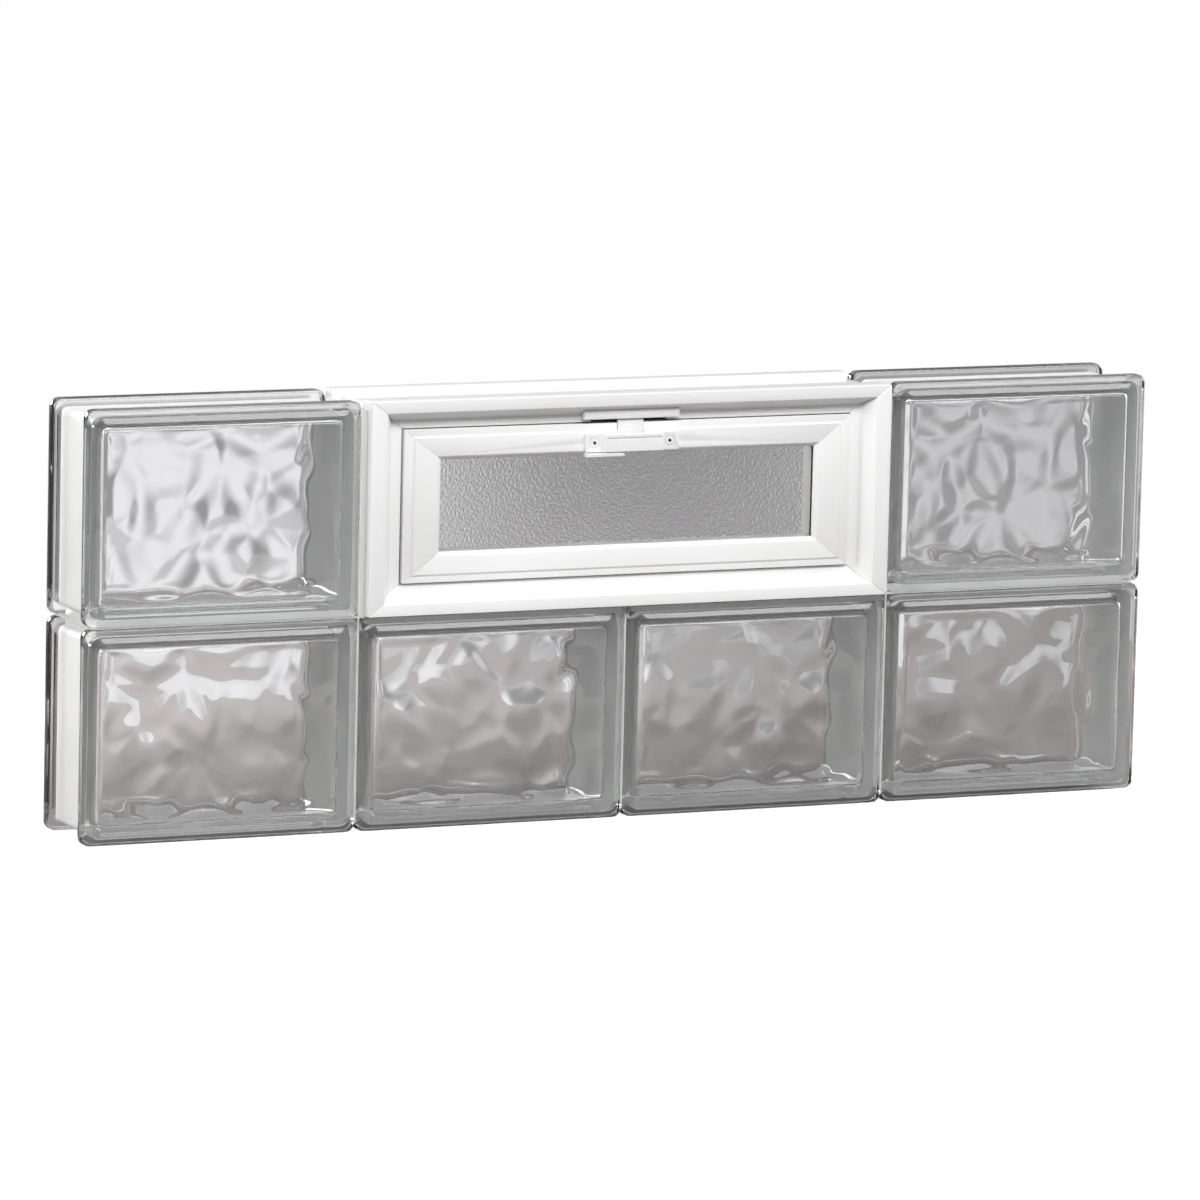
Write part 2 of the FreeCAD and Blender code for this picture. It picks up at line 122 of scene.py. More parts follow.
# Outline of the front half from the middle of its face to the seam: inset, corner radius, place along Y
face_profile = [
    (0.0100, 0.0058, -block_half_depth),               # edge of the flat face
    (0.0091, 0.0060, -block_half_depth + 0.00025),     # rounded over into the bevel
    (0.0086, 0.0060, -block_half_depth + 0.00051),     # the bevel, at 27 degrees
    (0.0059, 0.0060, rim_y - 0.00051),
    (0.0054, 0.0060, rim_y - 0.00025),                 # eased out into the rim
    (0.0045, 0.0060, rim_y - 2 * loop_step),           # the rim
    (0.0036, 0.0050, rim_y - loop_step),
]
for step in range(lip_front_steps + 1):
    turn = math.radians(90 * step / lip_front_steps)
    inset = lip_front_round * (1 - math.sin(turn))
    y = rim_y + lip_front_round * (1 - math.cos(turn))
    face_profile.append((inset, lip_corner - inset * corner_easing, y))
for step in range(lip_back_steps + 1):
    turn = math.radians(90 * step / lip_back_steps)
    inset = lip_back_round * (1 - math.cos(turn))
    y = lip_y - lip_back_round * (1 - math.sin(turn))
    face_profile.append((inset, lip_corner - inset * corner_easing, y))
face_profile.append((edge_recess, recess_corner, lip_y + loop_step))
face_profile.append((edge_recess, recess_corner, 0.0))

bpy.ops.mesh.primitive_plane_add(size=0.01)
skin = bpy.context.object
skin.name = "block_skin"
edit(skin)
bpy.ops.mesh.select_all(action="SELECT")
bpy.ops.mesh.delete(type="VERT")
loops = []
for inset, corner, y in face_profile:
    loops.append(rounded_loop(inset, corner, y))
select_loops(loops[0])
bpy.ops.mesh.edge_face_add()
for near, far in zip(loops, loops[1:]):
    select_loops(near, far)
    bpy.ops.mesh.bridge_edge_loops()
pick("faces", lambda f: len(f.verts) > 4)
bpy.ops.mesh.inset(thickness=face_margin)
bpy.ops.object.mode_set(mode="OBJECT")


def fuse_halves(half, turned_in):
    """Copy a pressed half, turn the copy to face the other way, and fuse the two at the seam."""
    alone(half)
    bpy.ops.object.duplicate()
    rear = bpy.context.object
    edit(rear)
    bpy.ops.mesh.select_all(action="SELECT")
    bpy.ops.transform.rotate(value=math.pi, orient_axis="Z", center_override=(0, 0, 0))
    bpy.ops.object.mode_set(mode="OBJECT")
    alone(half)
    rear.select_set(True)
    bpy.ops.object.join()
    edit(half)
    bpy.ops.mesh.select_all(action="SELECT")
    bpy.ops.mesh.remove_doubles(threshold=weld_distance)
    bpy.ops.mesh.select_all(action="SELECT")
    bpy.ops.mesh.normals_make_consistent(inside=turned_in)
    bpy.ops.object.mode_set(mode="OBJECT")


fuse_halves(skin, turned_in=False)


# Glass blocks: the hollow. The plunger leaves soft waves on the inner side of each face, so a block
# lets light through and hides what is behind it. The hollow's corners are well rounded.
hollow_width = 0.1722
hollow_height = 0.1217
hollow_y = -0.0325         # inner side of the face, from the seam
hollow_corner = 0.0075
strip_width = 0.0224       # the face is cut into strips this wide and this high before it is rounded
strip_height = 0.0213
rounding_levels = 4
wave_cell = 0.043
crease_depth = 0.0016
crease_spread = 0.27       # of a cell, over which a crease runs out
crease_level = 0.7         # of the crease's depth, where the face stays put
drift_width = 0.006        # how far the creases wander from straight lines
drift_cell = 0.045
swell_height = 0.0024
swell_cell = 0.05
middle_level = 0.5
fade_start = 0.002         # from the edge walls, where the waves begin to fade in
fade = 0.006

bpy.ops.mesh.primitive_plane_add(size=1, location=(0, hollow_y, 0), rotation=(-math.pi / 2, 0, 0))
hollow = bpy.context.object
hollow.name = "block_hollow"
hollow.scale = (hollow_width, hollow_height, 1)
alone(hollow)
bpy.ops.object.transform_apply(location=True, rotation=True, scale=True)
edit(hollow)
half_x = hollow_width / 2
half_z = hollow_height / 2
x_cuts = [-half_x + hollow_corner, half_x - hollow_corner]
x_cuts += [strip_width * k for k in (-2.5, -1.5, -0.5, 0.5, 1.5, 2.5)]
z_cuts = [-half_z + hollow_corner, half_z - hollow_corner]
z_cuts += [strip_height * k for k in (-1.5, -0.5, 0.5, 1.5)]
for x in x_cuts:
    bpy.ops.mesh.select_all(action="SELECT")
    bpy.ops.mesh.bisect(plane_co=(x, 0, 0), plane_no=(1, 0, 0))
for z in z_cuts:
    bpy.ops.mesh.select_all(action="SELECT")
    bpy.ops.mesh.bisect(plane_co=(0, 0, z), plane_no=(0, 0, 1))
pick("edges", lambda e: e.is_boundary)
bpy.ops.mesh.extrude_edges_move(TRANSFORM_OT_translate={"value": (0, hollow_corner, 0)})
bpy.ops.object.mode_set(mode="OBJECT")
rounding = hollow.modifiers.new("rounding", "SUBSURF")
rounding.levels = rounding.render_levels = rounding_levels
rounding.boundary_smooth = "ALL"
bpy.ops.object.modifier_apply(modifier="rounding")


def draw_out(amount, seam):
    """Extrude the open edge of the mesh in edit mode along Y and flatten it at a seam."""
    pick("edges", lambda e: e.is_boundary)
    bpy.ops.mesh.extrude_edges_move(TRANSFORM_OT_translate={"value": (0, amount, 0)})
    bpy.ops.transform.resize(value=(1, 0, 1), center_override=(0, seam, 0))


edit(hollow)
draw_out(0.001, 0)
bpy.ops.object.mode_set(mode="OBJECT")
fuse_halves(hollow, turned_in=True)

# The waves fade out where the face runs into the edge walls
waves = {side: hollow.vertex_groups.new(name=side) for side in ("front", "rear")}
for v in hollow.data.vertices:
    to_wall = min(half_x - abs(v.co.x), half_z - abs(v.co.z))
    if to_wall > fade_start:
        part = min((to_wall - fade_start) / fade, 1)
        weight = part * part * (3 - 2 * part)
        waves["front" if v.co.y < 0 else "rear"].add([v.index], weight, "REPLACE")
cells = bpy.data.textures.new("pressed_cells", "VORONOI")
cells.distance_metric = "DISTANCE"
cells.noise_scale = wave_cell
cells.weight_1 = -1
cells.weight_2 = 1
cells.use_color_ramp = True
cells.color_ramp.interpolation = "EASE"
for stop, place, level in zip(cells.color_ramp.elements, (0.0, crease_spread), (0.0, 1.0)):
    stop.position = place
    stop.color = (level, level, level, 1)
swell = bpy.data.textures.new("pressed_swell", "CLOUDS")
swell.noise_scale = swell_cell
swell.noise_depth = 1
drift = bpy.data.textures.new("pressed_drift", "CLOUDS")
drift.noise_scale = drift_cell
drift.noise_depth = 0
for side, inward in (("front", 1), ("rear", -1)):
    for name, texture, direction, height, level in (
            ("creases", cells, "Y", -inward * crease_depth, crease_level),
            ("swell", swell, "Y", inward * swell_height, middle_level),
            ("drift_across", drift, "X", drift_width, middle_level),
            ("drift_up", swell, "Z", drift_width, middle_level)):
        press = hollow.modifiers.new(name, "DISPLACE")
        press.texture = texture
        press.texture_coords = "LOCAL"
        press.direction = direction
        press.strength = height
        press.mid_level = level
        press.vertex_group = side
        bpy.ops.object.modifier_apply(modifier=name)
    soften = hollow.modifiers.new("soften", "SMOOTH")
    soften.factor = 0.5
    soften.iterations = 8
    soften.vertex_group = side
    bpy.ops.object.modifier_apply(modifier="soften")
hollow.vertex_groups.clear()


# Glass blocks: finish. Pressed soda glass is faintly grey green in its thickness, with a slight ripple
# of its own on the outside. The edges between the lips are coated white, brushed on a little unevenly.
glass_hazy = (0.965, 0.968, 0.966)
glass_clear = (0.985, 0.987, 0.986)
glass_depth_tint = (0.60, 0.68, 0.62, 1)
glass_depth_density = 4.5
glass_index = 1.51
coat_thin = (0.87, 0.88, 0.87)
coat_thick = (0.93, 0.93, 0.925)
brush_scale = (40, 260, 40)


def adder(tree):
    """Ways to add a node to a tree and to fill its inputs: sockets are linked, values are set."""
    def add(kind, inputs=None, **settings):
        node = tree.nodes.new(kind)
        for key, value in settings.items():
            setattr(node, key, value)
        fill(node, inputs or {})
        return node

    def fill(node, inputs):
        for key, value in inputs.items():
            if isinstance(value, bpy.types.NodeSocket):
                tree.links.new(value, node.inputs[key])
            else:
                node.inputs[key].default_value = value

    return add, fill


def material(name):
    """A new node material, a way to add nodes to it, and a way to set its shader's sockets."""
    made = bpy.data.materials.new(name)
    made.use_nodes = True
    add, fill = adder(made.node_tree)
    shader = made.node_tree.nodes["Principled BSDF"]

    def to_shader(**sockets):
        fill(shader, {key.replace("_", " "): value for key, value in sockets.items()})

    return made, add, to_shader


def ramp(add, factor, *stops):
    """A colour ramp with (place, colour) stops; its colour socket."""
    node = add("ShaderNodeValToRGB", {"Fac": factor})
    elements = node.color_ramp.elements
    while len(elements) < len(stops):
        elements.new(0.5)
    for element, (place, colour) in zip(elements, stops):
        element.position = place
        element.color = (*colour, 1)
    return node.outputs["Color"]


pressed_glass, add, to_shader = material("pressed_glass")
place = add("ShaderNodeTexCoord").outputs["Object"]
ripple = add("ShaderNodeTexNoise", {"Vector": place, "Scale": 60, "Detail": 2, "Roughness": 0.5})
haze = add("ShaderNodeTexNoise", {"Vector": place, "Scale": 26, "Detail": 4, "Roughness": 0.6})
gloss = add("ShaderNodeMapRange", {"Value": haze.outputs["Fac"], "To Min": 0.004, "To Max": 0.03})
skin_bump = add("ShaderNodeBump", {"Height": ripple.outputs["Fac"], "Strength": 0.05, "Distance": 0.001})
to_shader(
    Base_Color=ramp(add, haze.outputs["Fac"], (0.3, glass_hazy), (0.7, glass_clear)),
    Roughness=gloss.outputs[0], Normal=skin_bump.outputs["Normal"],
    IOR=glass_index, Transmission_Weight=1.0)
depth = add("ShaderNodeVolumeAbsorption", {"Color": glass_depth_tint, "Density": glass_depth_density})
pressed_glass.node_tree.links.new(
    depth.outputs["Volume"], pressed_glass.node_tree.nodes["Material Output"].inputs["Volume"])

edge_coat, add, to_shader = material("edge_coat")
place = add("ShaderNodeTexCoord").outputs["Object"]
brushed = add("ShaderNodeMapping", {"Vector": place, "Scale": brush_scale})
strokes = add("ShaderNodeTexNoise", {"Vector": brushed.outputs["Vector"], "Scale": 1, "Detail": 5})
blotch = add("ShaderNodeTexNoise", {"Vector": place, "Scale": 22, "Detail": 3})
coat_bump = add("ShaderNodeBump", {"Height": strokes.outputs["Fac"], "Strength": 0.25, "Distance": 0.0006})
to_shader(
    Base_Color=ramp(add, blotch.outputs["Fac"], (0.3, coat_thin), (0.7, coat_thick)),
    Roughness=0.6, Normal=coat_bump.outputs["Normal"])

skin.data.materials.append(pressed_glass)
skin.data.materials.append(edge_coat)
hollow.data.materials.append(pressed_glass)
edit(skin)


def on_recess(face):
    """Whether a face of the skin lies on the edges that are set in between the lips."""
    middle = face.calc_center_median()
    along_y = abs(face.normal.y) < 0.1
    in_width = abs(middle.x) < block_width / 2 - 0.5 * edge_recess
    in_height = abs(middle.z) < block_height / 2 - 0.5 * edge_recess
    return along_y and in_width and in_height and abs(middle.y) < -lip_y


pick("faces", on_recess)
bpy.context.object.active_material_index = 1
bpy.ops.object.material_slot_assign()
bpy.ops.object.mode_set(mode="OBJECT")

# Skin and hollow are one body of glass. The blocks are alike, and are laid any way round: each has its
# column, its row and the axis of the half turn it was laid with.
block_pitch_x = 0.1971
block_pitch_z = 0.1466
block_middle_y = 0.002
laid = {
    "lower_block_1": (0, 0, None), "lower_block_2": (1, 0, "Y"), "lower_block_3": (2, 0, "Z"),
    "lower_block_4": (3, 0, "X"), "upper_left_block": (0, 1, "Z"), "upper_right_block": (3, 1, None)}
alone(skin)
hollow.select_set(True)
bpy.context.view_layer.objects.active = skin
bpy.ops.object.join()
bpy.ops.object.shade_smooth_by_angle(angle=math.radians(35))
for name, (column, row, turned) in laid.items():
    alone(skin)
    bpy.ops.object.duplicate()
    block = bpy.context.object
    block.name = name
    edit(block)
    bpy.ops.mesh.select_all(action="SELECT")
    if turned:
        bpy.ops.transform.rotate(value=math.pi, orient_axis=turned, center_override=(0, 0, 0))
    bpy.ops.transform.translate(
        value=((column - 1.5) * block_pitch_x, block_middle_y, block_height / 2 + row * block_pitch_z))
    bpy.ops.object.mode_set(mode="OBJECT")
    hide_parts(name + "_front_half", name + "_rear_half")
    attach(block, "root")
bpy.data.objects.remove(skin)


# Silicone joints. The blocks and the vent are bonded edge to edge with a clear grey silicone, squeezed
# flat between the lips and wiped off just behind the rims.
silicone_grey = (0.70, 0.71, 0.70)
silicone_pale = (0.80, 0.81, 0.80)


def grey(level):
    """A plain level as a colour, for ramps that drive a number."""
    return (level, level, level)


joint_silicone, add, to_shader = material("joint_silicone")
place = add("ShaderNodeTexCoord").outputs["Object"]
wiped = add("ShaderNodeTexNoise", {"Vector": place, "Scale": 90, "Detail": 4, "Roughness": 0.6})
cloud = add("ShaderNodeTexNoise", {"Vector": place, "Scale": 14, "Detail": 2})
wipe_bump = add("ShaderNodeBump", {"Height": wiped.outputs["Fac"], "Strength": 0.2, "Distance": 0.001})
to_shader(
    Base_Color=ramp(add, cloud.outputs["Fac"], (0.3, silicone_grey), (0.7, silicone_pale)),
    Roughness=ramp(add, wiped.outputs["Fac"], (0.3, grey(0.3)), (0.7, grey(0.5))),
    Normal=wipe_bump.outputs["Normal"])
for name in ("bed_joint", "lower_left_joint", "lower_middle_joint", "lower_right_joint",
             "vent_left_joint", "vent_right_joint"):
    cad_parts[name].data.materials.clear()
    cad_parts[name].data.materials.append(joint_silicone)


# Vent frame. White vinyl extrusions, mitred and welded at the corners; the face slopes in through a
# reveal to the ledge that the sash closes against. Every arris is slightly rounded by the die.
vinyl_shade = (0.84, 0.84, 0.835)
vinyl_white = (0.87, 0.87, 0.87)
vinyl_index = 1.53
die_lines = 700
die_run = 6                # small, because the lines run on along the extrusion
frame_edge = 0.0006


def vinyl_material(name, stretch):
    """White vinyl with faint die lines along the extrusion; stretch is small along its length."""
    made, add, to_shader = material(name)
    place = add("ShaderNodeTexCoord").outputs["Object"]
    along = add("ShaderNodeMapping", {"Vector": place, "Scale": stretch})
    lines = add("ShaderNodeTexNoise", {"Vector": along.outputs["Vector"], "Scale": 1, "Detail": 3})
    grain = add("ShaderNodeTexNoise", {"Vector": place, "Scale": 900, "Detail": 2})
    tone = add("ShaderNodeTexNoise", {"Vector": place, "Scale": 9, "Detail": 3})
    height = add("ShaderNodeMath", {0: lines.outputs["Fac"], 1: grain.outputs["Fac"]}, operation="ADD")
    bump = add("ShaderNodeBump", {"Height": height.outputs[0], "Strength": 0.06, "Distance": 0.0004})
    to_shader(
        Base_Color=ramp(add, tone.outputs["Fac"], (0.35, vinyl_shade), (0.65, vinyl_white)),
        Roughness=ramp(add, lines.outputs["Fac"], (0.3, grey(0.3)), (0.7, grey(0.42))),
        Normal=bump.outputs["Normal"], IOR=vinyl_index)
    return made


def rounded_copy(node, name, width, segments, finish):
    """A copy of a CAD node with its loose triangles merged, its flats cleaned and its edges rounded."""
    copy = bpy.data.objects.new(name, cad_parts[node].data.copy())
    bpy.context.scene.collection.objects.link(copy)
    edit(copy)
    bpy.ops.mesh.select_all(action="SELECT")
    bpy.ops.mesh.remove_doubles(threshold=0.000002)
    bpy.ops.mesh.select_all(action="SELECT")
    bpy.ops.mesh.dissolve_limited(angle_limit=math.radians(1))
    pick("edges", lambda e: len(e.link_faces) == 2 and e.calc_face_angle(0) > math.radians(25))
    bpy.ops.mesh.bevel(offset=width, segments=segments, profile=0.5, affect="EDGES", clamp_overlap=True)
    bpy.ops.object.mode_set(mode="OBJECT")
    copy.data.materials.clear()
    copy.data.materials.append(finish)
    alone(copy)
    bpy.ops.object.shade_smooth_by_angle(angle=math.radians(40))
    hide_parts(node)
    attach(copy, "root")
    return copy


vinyl_across = vinyl_material("vinyl_across", (die_run, die_lines, die_lines))
vinyl_upright = vinyl_material("vinyl_upright", (die_lines, die_lines, die_run))
for node, finish in (("vent_head", vinyl_across), ("vent_sill", vinyl_across),
                     ("vent_left_jamb", vinyl_upright), ("vent_right_jamb", vinyl_upright)):
    member = rounded_copy(node, node + "_vinyl", frame_edge, 3, finish)


# Sash. The same white vinyl, lighter in section: rails and stiles mitred and welded, with a stepped
# outer band and a sloped bead that holds the pane.
sash_edge = 0.0004
for node, finish in (("sash_top_rail", vinyl_across), ("sash_bottom_rail", vinyl_across),
                     ("sash_left_stile", vinyl_upright), ("sash_right_stile", vinyl_upright)):
    member = rounded_copy(node, node + "_vinyl", sash_edge, 2, finish)


# Pane. Rolled obscure glass, hammered on the room side and smooth outdoors. It stands in the groove of
# the sash and is held there by the sloped bead.
pane_cells_x = 600
pane_cells_z = 145
hammer_room = 0.0005       # between the pane's front and the middle of the hammering
hammer_mark = 0.0015
hammer_depth = 0.00032
pane_grey = (0.80, 0.80, 0.79)
pane_pale = (0.86, 0.86, 0.85)
pane_low, pane_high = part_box("obscure_glass_pane")
pane_size = pane_high - pane_low
pane_middle = (pane_low + pane_high) / 2
bpy.ops.mesh.primitive_grid_add(
    x_subdivisions=pane_cells_x, y_subdivisions=pane_cells_z, size=1,
    location=(pane_middle.x, pane_low.y + hammer_room, pane_middle.z), rotation=(math.pi / 2, 0, 0))
pane = bpy.context.object
pane.name = "hammered_pane"
pane.scale = (pane_size.x, pane_size.z, 1)
alone(pane)
bpy.ops.object.transform_apply(location=True, rotation=True, scale=True)
hammered = bpy.data.textures.new("hammered", "CLOUDS")
hammered.noise_scale = hammer_mark
hammered.noise_depth = 1
hammer = pane.modifiers.new("hammer", "DISPLACE")
hammer.texture = hammered
hammer.texture_coords = "LOCAL"
hammer.direction = "Y"
hammer.strength = hammer_depth
hammer.mid_level = middle_level
bpy.ops.object.modifier_apply(modifier="hammer")
edit(pane)
draw_out(0.001, pane_high.y)
bpy.ops.mesh.edge_face_add()
bpy.ops.mesh.select_all(action="SELECT")
bpy.ops.mesh.normals_make_consistent(inside=False)
bpy.ops.object.mode_set(mode="OBJECT")
pane_glass, add, to_shader = material("pane_glass")
place = add("ShaderNodeTexCoord").outputs["Object"]
cast = add("ShaderNodeTexNoise", {"Vector": place, "Scale": 12, "Detail": 3})
to_shader(
    Base_Color=ramp(add, cast.outputs["Fac"], (0.3, pane_grey), (0.7, pane_pale)),
    Roughness=0.12, IOR=glass_index, Transmission_Weight=1.0)
pane.data.materials.append(pane_glass)
alone(pane)
bpy.ops.object.shade_smooth_by_angle(angle=math.radians(40))
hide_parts("obscure_glass_pane")
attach(pane, "root")


# Latch. White moulded housing screwed to the top rail, a flat spring bolt that rises behind the keeper
# on the head, and a finger lever underneath that pulls the bolt down.
plastic_shade = (0.80, 0.80, 0.80)
plastic_white = (0.84, 0.84, 0.84)
# Painted shade: the screws' sockets are painted near black, darker than their own shade would make them
socket_shade_black = (0.012, 0.012, 0.013)
socket_shade_grey = (0.03, 0.03, 0.032)
moulded_edge = 0.0003
keeper_edge = 0.0004
screw_edge = 0.0002
socket_reach = 0.0013      # from the screw's axis
socket_start = 0.0001      # from the top of the screw's head
socket_depth = 0.0016
latch_plastic, add, to_shader = material("latch_plastic")
place = add("ShaderNodeTexCoord").outputs["Object"]
moulded = add("ShaderNodeTexNoise", {"Vector": place, "Scale": 700, "Detail": 2})
tone = add("ShaderNodeTexNoise", {"Vector": place, "Scale": 60, "Detail": 2})
mould_bump = add("ShaderNodeBump", {"Height": moulded.outputs["Fac"], "Strength": 0.08, "Distance": 0.0003})
to_shader(
    Base_Color=ramp(add, tone.outputs["Fac"], (0.3, plastic_shade), (0.7, plastic_white)),
    Roughness=ramp(add, moulded.outputs["Fac"], (0.3, grey(0.28)), (0.7, grey(0.38))),
    Normal=mould_bump.outputs["Normal"])
socket_shade, add, to_shader = material("socket_shade")
place = add("ShaderNodeTexCoord").outputs["Object"]
socket_speckle = add("ShaderNodeTexNoise", {"Vector": place, "Scale": 1500, "Detail": 3})
to_shader(Base_Color=ramp(add, socket_speckle.outputs["Fac"], (0.3, socket_shade_black), (0.7, socket_shade_grey)), Roughness=0.55)


def blacken_socket(screw, low, high):
    """Paint the faces inside a screw's socket near black, as painted shade in the socket."""
    middle = (low + high) / 2

    def in_socket(face):
        at = face.calc_center_median()
        off_axis = math.hypot(at.x - middle.x, at.z - middle.z)
        return socket_start < at.y - low.y < socket_depth and off_axis < socket_reach

    screw.data.materials.append(socket_shade)
    edit(screw)
    pick("faces", in_socket)
    screw.active_material_index = 1
    bpy.ops.object.material_slot_assign()
    bpy.ops.object.mode_set(mode="OBJECT")


for node, width in (("latch_housing", moulded_edge), ("latch_bolt", moulded_edge),
                    ("latch_lever", moulded_edge), ("latch_keeper", keeper_edge),
                    ("latch_left_screw", screw_edge), ("latch_right_screw", screw_edge)):
    fitting = rounded_copy(node, node + "_moulded", width, 2, latch_plastic)
    if "screw" in node:
        blacken_socket(fitting, *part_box(node))


# Pivot pins. Two short steel pins that the sash tilts on. They are turned, pressed in near the sash's
# foot, and mostly hidden in the jambs and stiles.
steel_dark = (0.48, 0.48, 0.49)
steel_pale = (0.6, 0.6, 0.61)
lathe_scale = (4000, 60, 60)
pin_steel, add, to_shader = material("pin_steel")
place = add("ShaderNodeTexCoord").outputs["Object"]
turned_lines = add("ShaderNodeMapping", {"Vector": place, "Scale": lathe_scale})
turning = add("ShaderNodeTexNoise", {"Vector": turned_lines.outputs["Vector"], "Scale": 1, "Detail": 2})
to_shader(
    Base_Color=ramp(add, turning.outputs["Fac"], (0.3, steel_dark), (0.7, steel_pale)),
    Roughness=ramp(add, turning.outputs["Fac"], (0.3, grey(0.3)), (0.7, grey(0.45))), Metallic=1.0)
for node in ("sash_left_pivot_pin", "sash_right_pivot_pin"):
    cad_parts[node].data.materials.clear()
    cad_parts[node].data.materials.append(pin_steel)


# Paper floor. The paper is white to the eye. Through glass and in gloss it carries painted light and shade: a
# painted pool of light close in front of the panel and to the left, painted shadow close behind the panel,
# and painted shade dimmer still to the right.
floor_width = 2.8
floor_front = -1.25
floor_back = 0.60
floor_glow = 0.95
floor_glow_in_glass = 0.43
paper_dark = (0.205, 0.19, 0.187)
paper_pale = (0.215, 0.20, 0.197)
# the warm tint of the floor's painted light and shade, as glass and gloss see it
paper_in_glass = (1.0, 0.92, 0.93)
white = (1, 1, 1)
bpy.ops.mesh.primitive_plane_add(size=1, location=(0, (floor_front + floor_back) / 2, 0))
floor = bpy.context.object
floor.name = "floor"
floor.scale = (floor_width, floor_back - floor_front, 1)
alone(floor)
bpy.ops.object.transform_apply(location=True, rotation=True, scale=True)
paper, add, to_shader = material("paper")
place = add("ShaderNodeTexCoord").outputs["Object"]
fibre = add("ShaderNodeTexNoise", {"Vector": place, "Scale": 3, "Detail": 4})


def soft_step(value, start, end, from_level, to_level):
    """A smooth change of level between two places."""
    return add("ShaderNodeMapRange", {
        "Value": value, "From Min": start, "From Max": end, "To Min": from_level, "To Max": to_level},
        interpolation_type="SMOOTHSTEP").outputs[0]


def maths(operation, a, b=0.0):
    """One Math node's result."""
    return add("ShaderNodeMath", {0: a, 1: b}, operation=operation).outputs[0]


spot = add("ShaderNodeSeparateXYZ", {"Vector": place}).outputs
# Painted shadow behind the panel: dim close to it, brighter further back, with painted shade deepening to the
# right
painted_shadow_behind = soft_step(spot["Y"], 0.12, 0.50, 0.25, 0.90)
painted_shade_to_right = soft_step(spot["X"], -0.6, 1.1, 0.88, 0.0)
behind = maths("MULTIPLY", maths("MULTIPLY", painted_shadow_behind, painted_shade_to_right), floor_glow_in_glass)
# Painted pool of light close in front of the panel and to the left
near_rise = soft_step(spot["Y"], -0.30, -0.12, 0, 1)
near_fall = soft_step(spot["X"], -0.5, 0.3, 0.9, 0)
to_left = soft_step(spot["X"], -0.65, -0.40, 0.9, 0.25)
painted_light_in_front = maths("MAXIMUM", maths("MULTIPLY", near_rise, near_fall), to_left)
in_front = maths("MULTIPLY", soft_step(spot["Y"], -0.10, -0.04, 1, 0), painted_light_in_front)
path = add("ShaderNodeLightPath").outputs
in_glass = maths("MAXIMUM", path["Is Glossy Ray"], path["Is Transmission Ray"])
in_glass = maths("MULTIPLY", in_glass, maths("MAXIMUM", in_front, behind))
glow = maths("MAXIMUM", maths("MULTIPLY", path["Is Camera Ray"], floor_glow), in_glass)
to_shader(
    Base_Color=ramp(add, fibre.outputs["Fac"], (0.3, paper_dark), (0.7, paper_pale)),
    Emission_Color=ramp(add, path["Is Camera Ray"], (0, paper_in_glass), (1, white)),
    Emission_Strength=glow, Roughness=0.8)
floor.data.materials.append(paper)


# Glowing card. It stands well behind the panel, where only glass and gloss show it. It is no lamp: it glows
# with painted light along its foot, where the lower blocks see it over the paper, and in a soft round painted
# pool of light in line with each upper block.
room_in_glass = 0.31
room_tint = (0.985, 0.97, 1.0)
card_middle = (1.0, 2.0, -0.2)
card_size = (3.6, 1.6, 1)
patch_core = 0.05
patches = (                # middle, reach, glow above the room's level
    ((0.512, 2.0, -0.087), 0.40, 0.64),
    ((1.332, 2.0, -0.087), 0.34, 0.32))
bpy.ops.mesh.primitive_plane_add(size=1, location=card_middle, rotation=(math.pi / 2, 0, 0))
card = bpy.context.object
card.name = "painted_light_card"
card.scale = card_size
alone(card)
bpy.ops.object.transform_apply(location=True, rotation=True, scale=True)
card.visible_camera = card.visible_diffuse = card.visible_shadow = False
card_face, add, to_shader = material("card_face")
place = add("ShaderNodeTexCoord").outputs["Object"]
spot = add("ShaderNodeSeparateXYZ", {"Vector": place}).outputs
# painted light along the card's foot, dimmer to the right
foot_glow = soft_step(spot["X"], 0.5, 1.3, 0.66, 0.35)
glow = soft_step(spot["Z"], -0.20, -0.05, foot_glow, room_in_glass)
for middle, reach, patch_glow in patches:
    away = add("ShaderNodeVectorMath", {0: place, 1: middle}, operation="DISTANCE").outputs["Value"]
    lit = soft_step(away, patch_core, reach, room_in_glass + patch_glow, room_in_glass)
    glow = maths("MAXIMUM", glow, lit)
to_shader(
    Base_Color=(0, 0, 0, 1), Specular_IOR_Level=0.0, Emission_Color=(*room_tint, 1), Emission_Strength=glow)
card.data.materials.append(card_face)


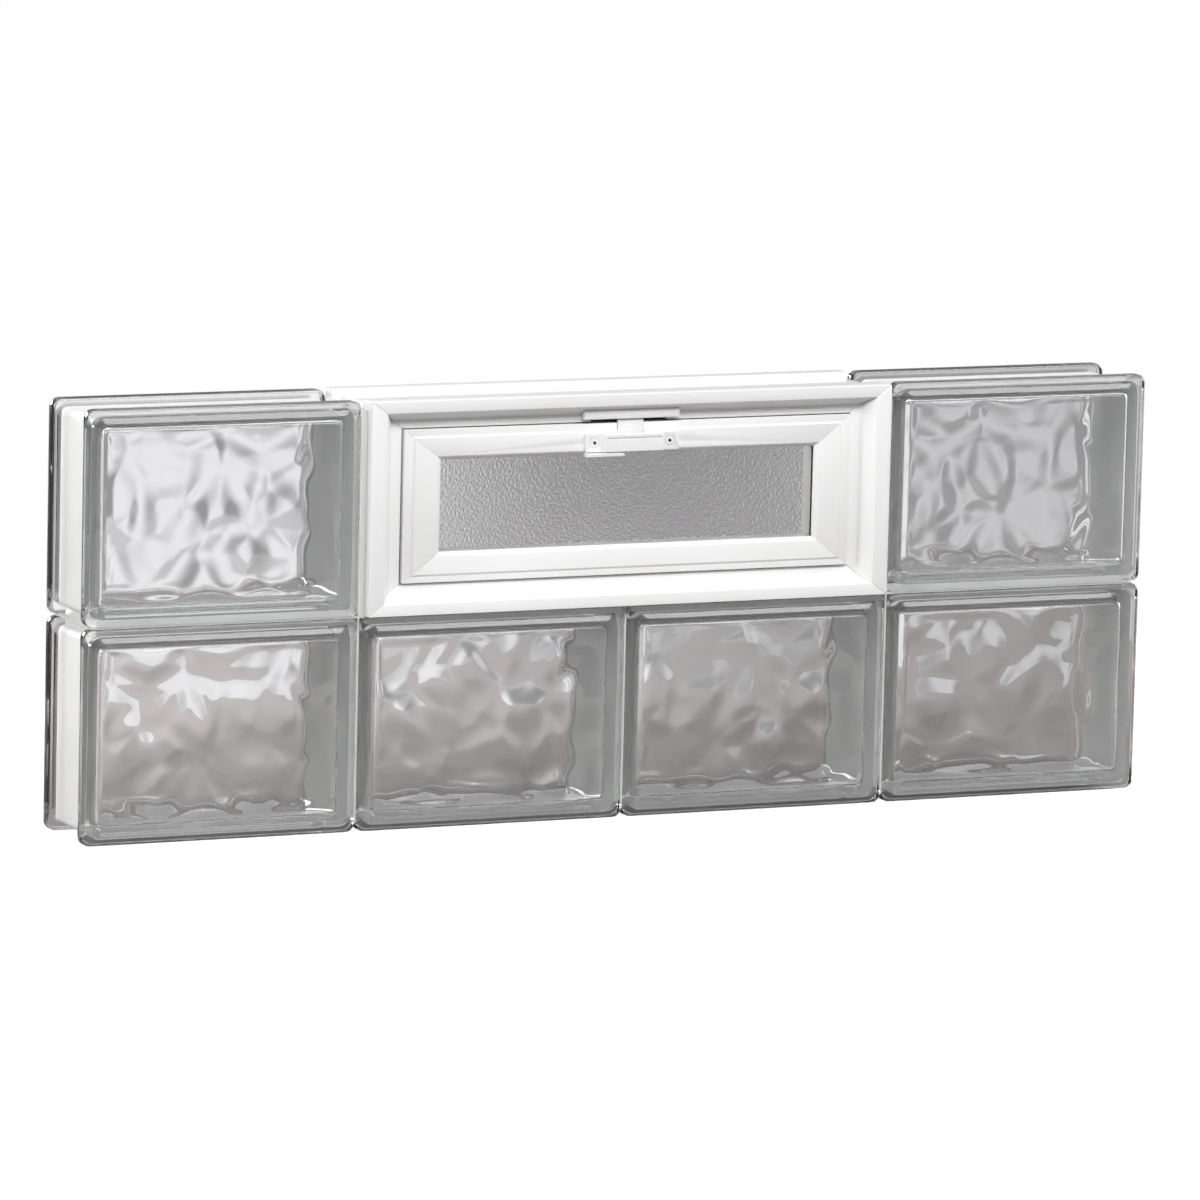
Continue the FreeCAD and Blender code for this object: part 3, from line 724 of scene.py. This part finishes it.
# Room and lamps. The room is white to the eye and dim as a lamp; glass and gloss show it brighter far to the
# sides, above and in front. A soft key stands near the camera, a wide softbox hangs in front and above, weak
# fills light the two ends, and a lamp behind lights the rear.
room_light = 0.10
wide_level = 0.95
front_level = 0.5
world = bpy.data.worlds.new("room")
bpy.context.scene.world = world
world.use_nodes = True
add, fill = adder(world.node_tree)
way = add("ShaderNodeSeparateXYZ", {"Vector": add("ShaderNodeTexCoord").outputs["Generated"]}).outputs
sides = soft_step(maths("ABSOLUTE", way["X"]), 0.55, 0.85, room_in_glass, wide_level)
above = soft_step(way["Z"], 0.25, 0.60, room_in_glass, wide_level)
ahead = soft_step(way["Y"], -0.2, -0.6, room_in_glass, front_level)
wide = maths("MAXIMUM", maths("MAXIMUM", sides, above), ahead)
path = add("ShaderNodeLightPath").outputs
in_glass = maths("MAXIMUM", path["Is Glossy Ray"], path["Is Transmission Ray"])
level = add("ShaderNodeMix", {"Factor": in_glass, "A": room_light, "B": wide}).outputs["Result"]
level = add("ShaderNodeMix", {"Factor": path["Is Camera Ray"], "A": level, "B": 1.0}).outputs["Result"]
colour = ramp(add, in_glass, (0, white), (1, room_tint))
fill(world.node_tree.nodes["Background"], {"Strength": level, "Color": colour})


def softbox(name, place, aim, size, power):
    """A rectangular area lamp that faces a point."""
    bpy.ops.object.light_add(type="AREA", location=place)
    lamp = bpy.context.object
    lamp.name = name
    lamp.data.shape = "RECTANGLE"
    lamp.data.size, lamp.data.size_y = size
    lamp.data.energy = power
    dx, dy, dz = (a - p for a, p in zip(aim, place))
    lamp.rotation_euler = (math.atan2(math.hypot(dx, dy), -dz), 0, math.atan2(dy, dx) - math.pi / 2)


panel_middle = (0, 0, 0.15)
softbox("key", (-1.1, -2.2, 2.1), panel_middle, (1.0, 0.6), 25)
softbox("overhead", (0.4, -1.78, 1.84), (0, 0, 0.17), (2.6, 0.8), 52)
softbox("left_fill", (-2.2, -0.35, 0.9), panel_middle, (0.6, 0.6), 22)
softbox("right_fill", (2.2, -0.2, 0.8), panel_middle, (0.6, 0.6), 14)
softbox("back", (-0.9, 2.4, 0.7), panel_middle, (1.0, 0.6), 45)
light_paths = bpy.context.scene.cycles
light_paths.max_bounces = 9
light_paths.diffuse_bounces = 2
light_paths.glossy_bounces = 4
light_paths.transmission_bounces = 9


# Camera. It stands to the left of the panel and a little above it, far off and with a long lens, as in the
# photo. Its place and turn were fitted to joints and corners.
camera_place = (-2.4314, -5.2748, 1.0271)
camera_turn = (81.3576, -1.3544, -24.5042)     # degrees
bpy.ops.object.camera_add(location=camera_place, rotation=[math.radians(angle) for angle in camera_turn])
camera = bpy.context.object
camera.data.lens = 258.2
camera.data.sensor_width = 36
camera.data.clip_end = 60
bpy.context.scene.camera = camera
